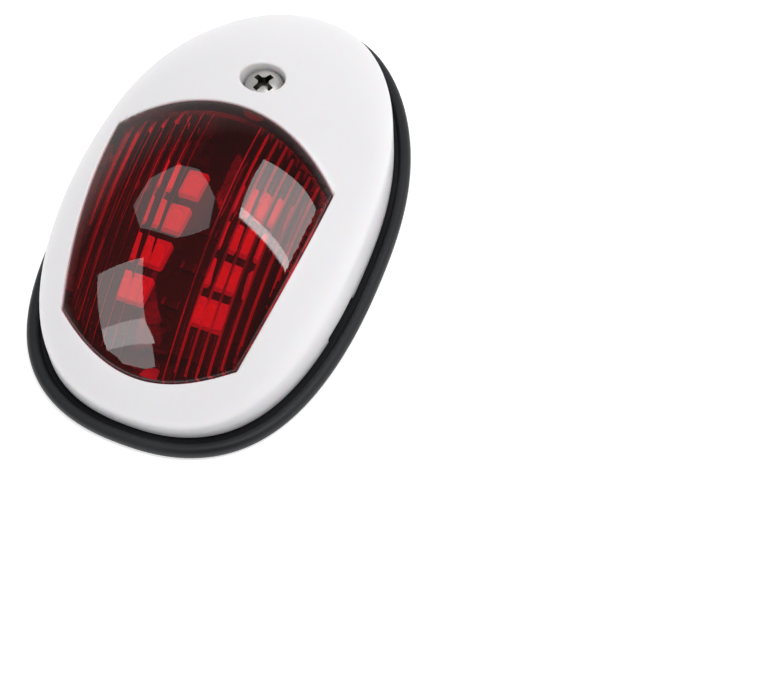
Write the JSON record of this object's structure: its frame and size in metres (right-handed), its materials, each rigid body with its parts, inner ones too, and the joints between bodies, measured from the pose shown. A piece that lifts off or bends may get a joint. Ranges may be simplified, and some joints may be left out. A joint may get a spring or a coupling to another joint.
{
  "type": "navigation light",
  "caption": "Egg-shaped surface-mounted port sidelight: white cover over a base plate, red fluted lens, LED board inside, black gasket behind.",
  "frame": {"origin": "centre of the outline on the back face of the gasket, the face that lies against the boat", "axes": "+Z out of the mounting surface, +Y along the long axis towards the cover screw, +X across the light"},
  "size_m": [0.054, 0.086, 0.024],
  "materials": {
    "white_cover": "polished moulded ABS",
    "red_lens": "clear red polycarbonate, polished outside, fluted inside",
    "gasket_rubber": "satin black rubber",
    "black_base": "black moulded ABS, unpolished",
    "stainless": "stainless steel",
    "black_oxide": "black oxide steel",
    "brass": "turned brass",
    "board": "dark solder mask",
    "led_body": "white LED package",
    "black_component": "moulded black component"
  },
  "bodies": {
    "base": {"base_plate": "black_base", "gasket": "gasket_rubber", "cover_seal": "gasket_rubber", "boss_insert": "brass", "circuit_board": "board", "board_screw_1": "black_oxide", "board_screw_2": "black_oxide", "led_1": "led_body", "led_2": "led_body", "led_3": "led_body", "led_4": "led_body", "led_5": "led_body", "led_6": "led_body", "led_7": "led_body", "led_8": "led_body", "resistor_1": "black_component", "resistor_2": "black_component", "resistor_3": "black_component", "resistor_4": "black_component", "protection_diode": "black_component", "supply_terminal": "black_component", "cable_grommet": "gasket_rubber"},
    "cover": {"cover_shell": "white_cover", "lens": "red_lens"},
    "screw_seal": {"screw_seal": "gasket_rubber"},
    "screw": {"cover_screw": "stainless"}
  },
  "joints": [
    {"name": "cover_lift", "type": "slide", "parent": "base", "child": "cover", "axis": [0, 0, 1], "range_m": [0, 0.035]},
    {"name": "screw_withdraw", "type": "slide", "parent": "cover", "child": "screw_seal", "axis": [0, 0, 1], "range_m": [0, 0.015]},
    {"name": "screw_turn", "type": "hinge", "parent": "screw_seal", "child": "screw", "pos_m": [0, 0.0162, 0.0182], "axis": [0, 0, 1], "range_deg": [0, 5400]}
  ],
  "couplings": [
    {"joint": "screw_turn", "follows": "screw_withdraw", "rad_per_m": 6283.2}
  ]
}
